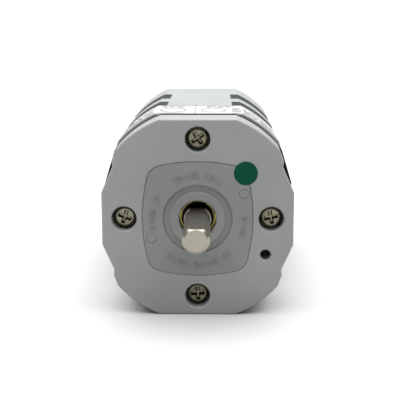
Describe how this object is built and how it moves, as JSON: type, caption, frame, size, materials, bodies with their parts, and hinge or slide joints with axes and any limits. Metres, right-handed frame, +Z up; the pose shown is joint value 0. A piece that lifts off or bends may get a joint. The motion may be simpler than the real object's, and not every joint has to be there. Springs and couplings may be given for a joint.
{
  "type": "roller shutter motor",
  "caption": "Compact geared motor for roller shutters: a D-profile output shaft in a flanged front cover, with planetary gears and a motor in a round, flat-sided housing.",
  "frame": {"origin": "centre of the bounding box at the bottom flat that the motor lies on", "axes": "+Y along the shaft axis from the shaft end to the rear cover, +Z up through the top flat, +X to the right seen from the shaft end"},
  "size_m": [0.06, 0.1366, 0.0624],
  "materials": {
    "cover_plastic": "fine-grained moulded",
    "insert_plastic": "fine-grained moulded",
    "housing_plastic": "fine-grained moulded",
    "black_plastic": "moulded",
    "plate_plastic": "moulded, semi-matt",
    "label_film": "printed film, semi-gloss",
    "green_film": "printed film",
    "plated_steel": "zinc plated",
    "shaft_steel": "ground",
    "bush_brass": "machined",
    "pin_steel": "ground",
    "spring_steel": "phosphated",
    "gear_case_alloy": "die cast",
    "gear_steel": "machined",
    "gear_acetal": "moulded",
    "bearing_steel": "polished",
    "lamination_steel": "stacked laminations",
    "magnet_ferrite": "ground",
    "winding_copper": "enamelled copper wire",
    "grommet_rubber": "moulded",
    "capacitor_film": "wrapped film"
  },
  "bodies": {
    "motor_body": {"front_cover": "cover_plastic", "cover_insert": "insert_plastic", "insert_pins": "insert_plastic", "motor_housing": "housing_plastic", "rear_cover": "housing_plastic", "front_window_plates": "plate_plastic", "rear_window_plates": "plate_plastic", "spacer_plate": "black_plastic", "bearing_bracket": "black_plastic", "terminal_block": "black_plastic", "coil_formers": "black_plastic", "rating_label": "label_film", "inspection_sticker": "green_film", "tie_screws": "plated_steel", "terminal_screws": "plated_steel", "shaft_bush": "bush_brass", "threaded_inserts": "bush_brass", "wave_washer": "spring_steel", "ring_gear_case": "gear_case_alloy", "bearing_outer_rings": "bearing_steel", "bearing_balls": "bearing_steel", "stator_core": "lamination_steel", "stator_coils": "winding_copper", "cable_grommet": "grommet_rubber", "run_capacitor": "capacitor_film"},
    "output_drive": {"output_shaft": "shaft_steel", "output_carrier": "gear_steel", "output_carrier_pins": "pin_steel", "shaft_circlip": "spring_steel"},
    "first_stage": {"first_carrier": "gear_steel", "first_carrier_pins": "pin_steel", "second_sun": "gear_steel"},
    "rotor": {"rotor_shaft": "shaft_steel", "rotor_core": "lamination_steel", "rotor_magnets": "magnet_ferrite", "motor_pinion": "gear_steel", "bearing_inner_rings": "bearing_steel"},
    "output_planet_gear_1": {"output_planet_1": "gear_acetal"},
    "output_planet_gear_2": {"output_planet_2": "gear_acetal"},
    "output_planet_gear_3": {"output_planet_3": "gear_acetal"},
    "first_planet_gear_1": {"first_planet_1": "gear_acetal"},
    "first_planet_gear_2": {"first_planet_2": "gear_acetal"},
    "first_planet_gear_3": {"first_planet_3": "gear_acetal"}
  },
  "joints": [
    {"name": "rotor_spin", "type": "hinge", "parent": "motor_body", "child": "rotor", "pos_m": [0, 0.02475, 0.0312], "axis": [0, -1, 0], "continuous": true},
    {"name": "first_stage_spin", "type": "hinge", "parent": "motor_body", "child": "first_stage", "pos_m": [0, -0.01455, 0.0312], "axis": [0, -1, 0], "continuous": true},
    {"name": "output_spin", "type": "hinge", "parent": "motor_body", "child": "output_drive", "pos_m": [0, -0.04125, 0.0312], "axis": [0, -1, 0], "continuous": true},
    {"name": "first_planet_spin_1", "type": "hinge", "parent": "first_stage", "child": "first_planet_gear_1", "pos_m": [0, -0.00945, 0.042], "axis": [0, -1, 0], "continuous": true},
    {"name": "first_planet_spin_2", "type": "hinge", "parent": "first_stage", "child": "first_planet_gear_2", "pos_m": [-0.00935, -0.00945, 0.0258], "axis": [0, -1, 0], "continuous": true},
    {"name": "first_planet_spin_3", "type": "hinge", "parent": "first_stage", "child": "first_planet_gear_3", "pos_m": [0.00935, -0.00945, 0.0258], "axis": [0, -1, 0], "continuous": true},
    {"name": "output_planet_spin_1", "type": "hinge", "parent": "output_drive", "child": "output_planet_gear_1", "pos_m": [0, -0.02025, 0.042], "axis": [0, -1, 0], "continuous": true},
    {"name": "output_planet_spin_2", "type": "hinge", "parent": "output_drive", "child": "output_planet_gear_2", "pos_m": [-0.00935, -0.02025, 0.0258], "axis": [0, -1, 0], "continuous": true},
    {"name": "output_planet_spin_3", "type": "hinge", "parent": "output_drive", "child": "output_planet_gear_3", "pos_m": [0.00935, -0.02025, 0.0258], "axis": [0, -1, 0], "continuous": true}
  ],
  "couplings": [
    {"joint": "first_stage_spin", "follows": "rotor_spin", "ratio": 0.16667},
    {"joint": "output_spin", "follows": "rotor_spin", "ratio": 0.027778},
    {"joint": "first_planet_spin_1", "follows": "rotor_spin", "ratio": -0.41667},
    {"joint": "first_planet_spin_2", "follows": "rotor_spin", "ratio": -0.41667},
    {"joint": "first_planet_spin_3", "follows": "rotor_spin", "ratio": -0.41667},
    {"joint": "output_planet_spin_1", "follows": "rotor_spin", "ratio": -0.069444},
    {"joint": "output_planet_spin_2", "follows": "rotor_spin", "ratio": -0.069444},
    {"joint": "output_planet_spin_3", "follows": "rotor_spin", "ratio": -0.069444}
  ]
}
